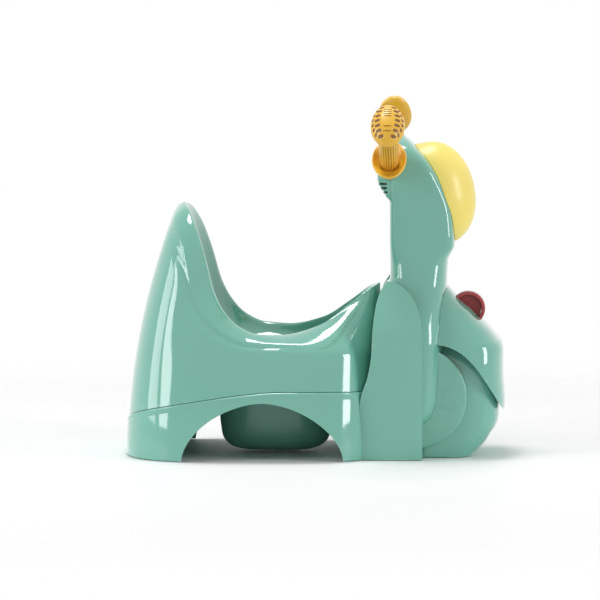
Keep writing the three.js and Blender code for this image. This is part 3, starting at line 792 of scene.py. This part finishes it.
column_cutter = column_solid("column_cutter", gap)
skin_rows = [[plan_point(a, bag_skin(z), z) for a in turns(96)] for z in range(-12, 213, 4)]
for side, word in ((1, "left"), (-1, "right")):
    bag = mint_piece(f"pannier_moulding_{word}", prism(bag_outline(), side * 40, side * 120),
                     [f"pannier_{word}"])
    skin = cutter("bag_skin", *grid(skin_rows, cap=True))
    cut(bag, skin, operation="INTERSECT")
    drop(skin)
    under = block("under_floor", 0, 200, -200, 200, -40, floor_gap)
    wheel_room = block("wheel_room", 100, 200, -wheel_room_half, wheel_room_half, -10,
                       bag_shoulder + 10)
    cut(bag, under, column_cutter, seat_cutter, wheel_room)
    drop(under, wheel_room)
    soften_edges(bag, 1.5, 3, 45)
drop(seat_cutter)

# ------------------------------------------------
# Mudguard: the full-width front fender, a thick gloss moulding pushed over the wheel box, with
# a cut-out that holds the round badge.
guard_wall = 4.5
fender_rear, fender_power = 110, 3.2
fender_front = smooth_curve([(45, 219), (53, 224), (61, 225), (106, 223), (124, 223), (133, 221),
                             (140, 215), (151, 206), (164, 192), (173, 184), (180, 175),
                             (186, 168), (198, 158)])
fender_half = smooth_curve([(45, 80), (110, 80), (130, 76), (151, 68), (173, 56), (186, 46),
                            (198, 34)])
lip_line = smooth_curve([(125, 137.5), (156, 133), (172, 126), (188, 112), (201, 94), (212, 76),
                         (222, 58), (232, 44)])
badge_x, badge_z, badge_radius, badge_half = 180.5, 172.4, 20.4, 9


def level_solid(levels, rear, front, half, power, less=0.0, count=120):
    """A closed body of level sections from rear to front, smaller by less all round."""
    rows = []
    for z in levels:
        x0, x1 = rear + less, front(z) - less
        rows.append([plan_point(a, ((x0 + x1) / 2, (x1 - x0) / 2, half(z) - less, power), z)
                     for a in turns(count)])
    return grid(rows, cap=True)


fender_levels = [50 + 2.6 * i for i in range(57)] + [198]
fender_form = (fender_rear, fender_front, fender_half, fender_power)
mudguard = mint_piece("mudguard_moulding", level_solid(fender_levels, *fender_form),
                      ["mudguard"])
inside = cutter("fender_inside",
                *level_solid([40] + fender_levels[:-2], *fender_form, guard_wall))
lip_points = [(125 + 107 * i / 40, lip_line(125 + 107 * i / 40)) for i in range(41)]
lip_cutter = side_prism("lip_cutter", lip_points + [(245, 30), (100, 30), (100, 137.5)],
                        -120, 120)
badge_hole = side_rod("badge_hole", badge_x, badge_z, badge_radius + gap, -badge_half - gap,
                      badge_half + gap, 96)
cut(mudguard, inside, lip_cutter, column_cutter, badge_hole)
drop(inside, lip_cutter, badge_hole)
soften_edges(mudguard, 1.1, 3)

# ------------------------------------------------
# Wheel housing: the box that stands for the front wheel, hollow below, with a shallow disc on
# each side of it. Two rubber feet sit under its corners.
box_rear, box_power = 100, 4
box_front = smooth_curve([(0, 186), (16, 202), (27, 209), (37, 215.5), (49, 218), (86, 218),
                          (106, 216), (124, 211), (133, 206), (150, 184)])
box_half = smooth_curve([(0, 66), (95, 66), (124, 58), (150, 40)])
box_levels = [floor_gap] + [4 + 4 * i for i in range(36)] + [147, 150]
box_form = (box_rear, box_front, box_half, box_power)
wheel_housing = mint_piece("wheel_housing_box", level_solid(box_levels, *box_form),
                           ["wheel_housing"])
inside = cutter("box_inside", *level_solid([-6] + box_levels[:-1], *box_form, shell_wall))
cut(wheel_housing, inside, column_cutter)
drop(inside)
add_foot_blocks(wheel_housing, front_foot, 30, 65)
soften_edges(wheel_housing, 0.6)

wheel_x, wheel_z, wheel_radius, disc_inner = 120, 72, 61, 66.3
disc_profile = [(0.01, 0), (wheel_radius - 0.6, 0), (wheel_radius, 0.6), (wheel_radius, 2.4),
                (wheel_radius - 0.6, 4.0), (wheel_radius - 1.8, 4.8), (wheel_radius - 4, 5),
                (0.01, 5)]


def turned(profile, x, z):
    """Rows of a profile (radius, across) turned about an axis that runs across the chair."""
    return [[Vector((x + r * math.cos(t), y, z + r * math.sin(t))) for t in turns(120)]
            for r, y in profile]


for side, word in ((1, "left"), (-1, "right")):
    rows = turned([(r, side * (disc_inner + y)) for r, y in disc_profile], wheel_x, wheel_z)
    disc = mint_piece(f"wheel_disc_{word}_plate", grid(rows, cap=True), [f"wheel_disc_{word}"])
    behind = block("behind", 40, 100, -120, 120, -20, 200)
    cut(disc, behind, column_cutter)
    drop(behind)

# ------------------------------------------------
# Lamp: a satin yellow dome pressed into the front of the head, leaning back with it. Its edge
# is cut to the head's own curve.
lamp_yellow = plastic("lamp_satin", (0.95, 0.80, 0.20), (0.92, 0.70, 0.15), (0.95, 0.82, 0.4),
                      0.36, coat=0.08, relief=0.00002)
lamp_x, lamp_z, lamp_tilt = 142, 309, 0.2
lamp_along, lamp_across, lamp_depth, lamp_power = 62, 43, 46.3, 2.1


def lamp_ring(q):
    """Ring of the dome at the share q of its depth, from its seat (0) to its tip (1)."""
    size = 1 if q < 0 else (1 - q ** lamp_power) ** (1 / lamp_power)
    ring = []
    for t in turns(120):
        x = q * lamp_depth
        y, z = size * lamp_across * math.sin(t), size * lamp_along * math.cos(t)
        ring.append(Vector((lamp_x + x * math.cos(lamp_tilt) - z * math.sin(lamp_tilt), y,
                            lamp_z + x * math.sin(lamp_tilt) + z * math.cos(lamp_tilt))))
    return ring


lamp_steps = [-0.3, 0.0] + [1 - (1 - i / 30) ** 1.8 for i in range(1, 30)] + [0.9995]
lamp_rows = [lamp_ring(q) for q in lamp_steps]
lamp_dome = make_piece("lamp_dome_cover", *grid(lamp_rows, cap=True), "chair", "lamp_yellow",
                       lamp_yellow, ["lamp_dome"])
cut(lamp_dome, column_cutter)
soften_edges(lamp_dome, 0.5)

# ------------------------------------------------
# Badge: a round red emblem through the nose of the mudguard, a glossy ring with a darker
# sunken face on each side.
badge_red = plastic("badge_gloss", (0.43, 0.042, 0.045), (0.38, 0.036, 0.04), (0.6, 0.2, 0.2),
                    0.22, coat=0.2)
badge_dark = plastic("badge_face", (0.27, 0.030, 0.031), (0.23, 0.025, 0.027), (0.4, 0.1, 0.1),
                     0.4)
ring_soft = 1.2
ring_in, ring_out = badge_radius - 4.5, badge_radius
face_radius = ring_in - gap

ring_profile = []
corner_r, corner_y = (ring_out - ring_soft, ring_in + ring_soft), badge_half - ring_soft
for start, r, y in ((0, corner_r[0], corner_y), (90, corner_r[1], corner_y),
                    (180, corner_r[1], -corner_y), (270, corner_r[0], -corner_y)):
    for i in range(6):
        turn = math.radians(start + 90 * i / 5)
        ring_profile.append((r + ring_soft * math.cos(turn), y + ring_soft * math.sin(turn)))
make_piece("badge_outer_ring", *grid(turned(ring_profile, badge_x, badge_z), loop=True),
           "chair", "badge_red", badge_red, ["badge_ring"])
face_profile = [(0.01, -5.8), (face_radius * 0.6, -5.9), (face_radius - 1, -6.4),
                (face_radius, -6.2), (face_radius, 6.2), (face_radius - 1, 6.4),
                (face_radius * 0.6, 5.9), (0.01, 5.8)]
make_piece("badge_sunk_face", *grid(turned(face_profile, badge_x, badge_z), cap=True),
           "chair", "badge_dark_red", badge_dark, ["badge_disc"])

# ------------------------------------------------
# Handlebar: a bent steel tube through the head, almost wholly covered by the guards and grips.
# The three screws that close the column are steel too.
bar_rise = math.radians(39.8)
guard_centre = Vector((89, 68, 348.5))
tube_radius, arm_root, arm_reach = 7, 30, 69
bend, bend_lift, bend_steps = 9.0, 0.9, 8
level_y = guard_centre.y - arm_root * math.cos(bar_rise)
level_z = guard_centre.z - arm_root * math.sin(bar_rise)


def metal(name, colour, bright, roughness):
    material = bpy.data.materials.new(name)
    material.use_nodes = True
    tree = material.node_tree
    shader = tree.nodes["Principled BSDF"]
    shader.inputs["Metallic"].default_value = 1.0
    place = tree.nodes.new("ShaderNodeTexCoord")
    stretch = tree.nodes.new("ShaderNodeMapping")
    stretch.inputs["Scale"].default_value = (400, 40, 400)
    grain = tree.nodes.new("ShaderNodeTexNoise")
    grain.inputs["Scale"].default_value = 3
    ramp = tree.nodes.new("ShaderNodeValToRGB")
    ramp.color_ramp.elements[0].color = (*colour, 1)
    ramp.color_ramp.elements[1].color = (*bright, 1)
    spread = tree.nodes.new("ShaderNodeMapRange")
    spread.inputs["To Min"].default_value = roughness - 0.06
    spread.inputs["To Max"].default_value = roughness + 0.08
    tree.links.new(place.outputs["Object"], stretch.inputs["Vector"])
    tree.links.new(stretch.outputs["Vector"], grain.inputs["Vector"])
    tree.links.new(grain.outputs["Fac"], ramp.inputs["Fac"])
    tree.links.new(ramp.outputs["Color"], shader.inputs["Base Color"])
    tree.links.new(grain.outputs["Fac"], spread.inputs["Value"])
    tree.links.new(spread.outputs["Result"], shader.inputs["Roughness"])
    return material


steel = metal("drawn_steel", (0.42, 0.43, 0.44), (0.62, 0.63, 0.64), 0.32)


def finish_node(name, material, edge):
    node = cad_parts[name]
    node.data.materials.clear()
    node.data.materials.append(material)
    soften_edges(node, edge)


def bar_path():
    """Centre line (y, z) with its heading, from the right-hand end to the left-hand one."""
    ends = [(guard_centre.y + arm_reach * math.cos(bar_rise),
             guard_centre.z + arm_reach * math.sin(bar_rise), bar_rise)]
    for i in range(bend_steps + 1):
        share = i / bend_steps
        heading = bar_rise * (1 - share)
        lift = bend_lift * math.sin(math.pi * share)
        ends.append((level_y + bend * (math.cos(heading) * (1 - share) - share),
                     level_z + bend * math.sin(heading) * (1 - share) + lift, heading))
    left = [(y, z, turn) for y, z, turn in reversed(ends)]
    return [(-y, z, -turn) for y, z, turn in ends] + left


def tube_ring(y, z, turn):
    ring = []
    for t in turns(40):
        up = tube_radius * math.sin(t)
        ring.append(Vector((guard_centre.x + tube_radius * math.cos(t), y - up * math.sin(turn),
                            z + up * math.cos(turn))))
    return ring


tube_rows = [tube_ring(*place) for place in bar_path()]
make_piece("handlebar_bent_tube", *grid(tube_rows, cap=True), "chair", "steel", steel,
           ["handlebar_tube"])
for i in (1, 2, 3):
    finish_node(f"column_screw_{i}", steel, 0.4)

# ------------------------------------------------
# Handles: on each arm a yellow dished guard against the head, a round grip with rows of short
# ribs and an egg-shaped domed end with slots. All are pushed onto the steel tube.
handle_yellow = plastic("handle_yellow", (0.88, 0.52, 0.045), (0.80, 0.44, 0.032),
                        (0.92, 0.70, 0.2), 0.25, coat=0.2, relief=0.00002)


def paint_recess_shade(material, colour):
    """Paints shade into recesses: a darker colour where the mesh's own mask says the surface is
    recessed.
    """
    tree = material.node_tree
    shader = tree.nodes["Principled BSDF"]
    skin = next(n for n in tree.nodes if n.type == "GROUP")
    mask = tree.nodes.new("ShaderNodeAttribute")
    mask.attribute_name = "recess_shade"
    blend = tree.nodes.new("ShaderNodeMix")
    blend.data_type = "RGBA"
    blend.inputs["B"].default_value = (*colour, 1)
    tree.links.new(mask.outputs["Fac"], blend.inputs["Factor"])
    tree.links.new(skin.outputs["Colour"], blend.inputs["A"])
    tree.links.new(blend.outputs["Result"], shader.inputs["Base Color"])


# The handle yellow is painted darker in its grooves and slots, as painted shade.
paint_recess_shade(handle_yellow, (0.25, 0.105, 0.015))
grip_radius, grip_bore, grip_groove = 11.5, 7.3, 0.7
grip_from, grip_length, grip_steps = 2.3, 64.0, 180
guard_squeeze = 20.5 / 27.5
guard_profile = [
    (grip_bore, -16), (12, -16), (12.3, -12), (13, -8), (15.5, -5), (19, -2.6), (22.5, 0.2),
    (25.2, 3.2), (26.9, 5.9), (27.5, 7.6), (27.3, 8.5), (26.7, 9), (25.8, 9), (25.0, 8.4),
    (23.6, 6.6), (21.4, 4.2), (18.4, 2.2), (15, 0.9), (12.3, 0.3), (11.8, 0), (grip_bore, 0)]
cap_x, cap_up, cap_from, cap_rim, cap_dome = 20.0, 29.5, 67.0, 5.0, 15.5
cap_edge, cap_inset, cap_slot_depth = 2.6, 0.975, 1.5
cap_back = [(grip_bore, 69), (grip_bore, cap_from), (grip_radius + 2, cap_from),
            (19, cap_from + 0.9), (24.5, cap_from + 2.2), (28.2, cap_from + 3.6),
            (29.5, cap_from + 5.2), (29.4, cap_from + 6.4), (29.0, cap_from + 7.4)]
rib_pitch, rib_columns, last_rib = 3.2, 24, 18


def on_arm(point, side):
    """From the arm's own frame (y along the arm, from the guard's centre) to the chair's."""
    x, y, z = point
    rise, run = math.sin(bar_rise), math.cos(bar_rise)
    placed = Vector((guard_centre.x + x * side, guard_centre.y + y * run - z * rise,
                     guard_centre.z + y * rise + z * run))
    return Vector((placed.x, placed.y * side, placed.z))


def arm_ring(r, along, squeeze, side, around):
    """Ring of turned profile (radius, along the arm) with an oval squeeze across it."""
    return [on_arm((r * squeeze * math.cos(t), along, r * math.sin(t)), side) for t in around]


def rib(u, width):
    """A soft-sided bump: 1 in the middle, 0 outside the width."""
    x = min(abs(u) / width, 1)
    return 1 - x ** 6 if x < 1 else 0


def grip_sink(along, turn):
    """Depth share of the short grooves that run in columns along the grip."""
    row = (along - 4) / rib_pitch
    column = turn / (2 * math.pi) * rib_columns
    if round(row) < 0 or round(row) > last_rib:
        return 0.0
    across = rib((column - round(column)) * 3.0, 0.75)
    return rib((row - round(row)) * rib_pitch, 1.25) * across


# Centres and half sizes (across, up) of the recesses on the domed end, over its egg.
cap_slots = [(0, up, 4.4, 0.5) for up in (15.0, 11.6, 8.2, 4.8, -9.5, -15.5)]
for side in (-1, 1):
    cap_slots += [(side * (11.6 - 0.5 * i * i), 6.9 * i, 2.9, 1.75) for i in range(-3, 4)]
    cap_slots += [(side * (17.3 - 0.72 * i * i), 6.9 * i, 1.15, 1.9)
                  for i in (-2.5, -1.5, -0.5, 0.5, 1.5, 2.5)]


def cap_sink(x, up):
    deepest = 0.0
    for cx, cu, half_x, half_u in cap_slots:
        d = (abs(x - cx) / half_x) ** 2.4 + (abs(up - cu) / half_u) ** 2.4
        if d < 1.6:
            deepest = max(deepest, min(1.0, (1.6 - d) / 0.8))
    return deepest


def cap_height(share):
    """Height of the dome over its rim, from the centre (0) to the edge (1)."""
    return cap_dome * (1 - share ** 2.3) ** 0.62


def write_shade_mask(piece, values):
    layer = piece.data.attributes.new("recess_shade", "FLOAT", "POINT")
    layer.data.foreach_set("value", values)


for side, word in ((1, "left"), (-1, "right")):
    around = turns(96)
    rows = [arm_ring(r, along, guard_squeeze, side, around) for r, along in guard_profile]
    guard = make_piece(f"guard_dish_{word}", *grid(rows, loop=True), "chair", "grip_yellow",
                       handle_yellow, [f"hand_guard_{word}"])
    cut(guard, column_cutter)

    around = turns(240)
    blank = [0.0] * len(around)
    # The groove depths also give the mask of painted shade in the grooves.
    rows, recess_shade = [arm_ring(grip_bore, 2, 1, side, around)], blank[:]
    for i in range(grip_steps + 1):
        along = grip_from + grip_length * i / grip_steps
        depths = [grip_sink(along, t) for t in around]
        radii = [grip_radius - grip_groove * depth for depth in depths]
        rows.append([on_arm((r * math.cos(t), along, r * math.sin(t)), side)
                     for r, t in zip(radii, around)])
        recess_shade += depths
    rows.append(arm_ring(grip_bore, 66.7, 1, side, around))
    recess_shade += blank
    grip = make_piece(f"grip_sleeve_{word}", *grid(rows, loop=True), "chair", "grip_yellow",
                      handle_yellow, [f"hand_grip_{word}"])
    write_shade_mask(grip, recess_shade)

    around = turns(256)
    rows = [arm_ring(r, along, cap_x / cap_up, side, around) for r, along in cap_back]
    # The slot depths also give the mask of painted shade in the slots.
    recess_shade = [0.0] * len(around) * len(rows)
    for i in range(68):
        share = 1 - i / 67.5
        base = cap_from + cap_rim + cap_edge
        dome = (cap_dome - cap_edge) / cap_dome * cap_height(share)
        row = []
        for t in around:
            x = cap_x * share * cap_inset * math.cos(t)
            up = cap_up * share * cap_inset * math.sin(t)
            depth = cap_sink(x, up)
            row.append(on_arm((x, base + dome - cap_slot_depth * depth, up), side))
            recess_shade.append(depth)
        rows.append(row)
    cap_piece = make_piece(f"grip_end_dome_{word}", *grid(rows, cap=True), "chair", "grip_yellow",
                           handle_yellow, [f"grip_end_{word}"], sharp=60)
    write_shade_mask(cap_piece, recess_shade)

# ------------------------------------------------
# Feet: four dark rubber pads with softened rims, pressed into the blocks under the skirt and
# the wheel housing. The whole chair stands on them.
rubber = plastic("foot_rubber", (0.045, 0.05, 0.049), (0.035, 0.04, 0.039),
                 (0.09, 0.095, 0.09), 0.75, wear=0.2)
foot_profile = [(0.01, 0), (8.2, 0), (9, 0.8), (9, 2.6), (8.6, 3), (0.01, 3)]
for name, (x, y) in (("rear_foot", rear_foot), ("front_foot", front_foot)):
    for side, word in ((1, "left"), (-1, "right")):
        rows = [[Vector((x + r * math.cos(t), side * y + r * math.sin(t), z))
                 for t in turns(48)] for r, z in foot_profile]
        make_piece(f"{name}_pad_{word}", *grid(rows, cap=True), "chair", "rubber_foot", rubber,
                   [f"{name}_{word}"])
drop(column_cutter)
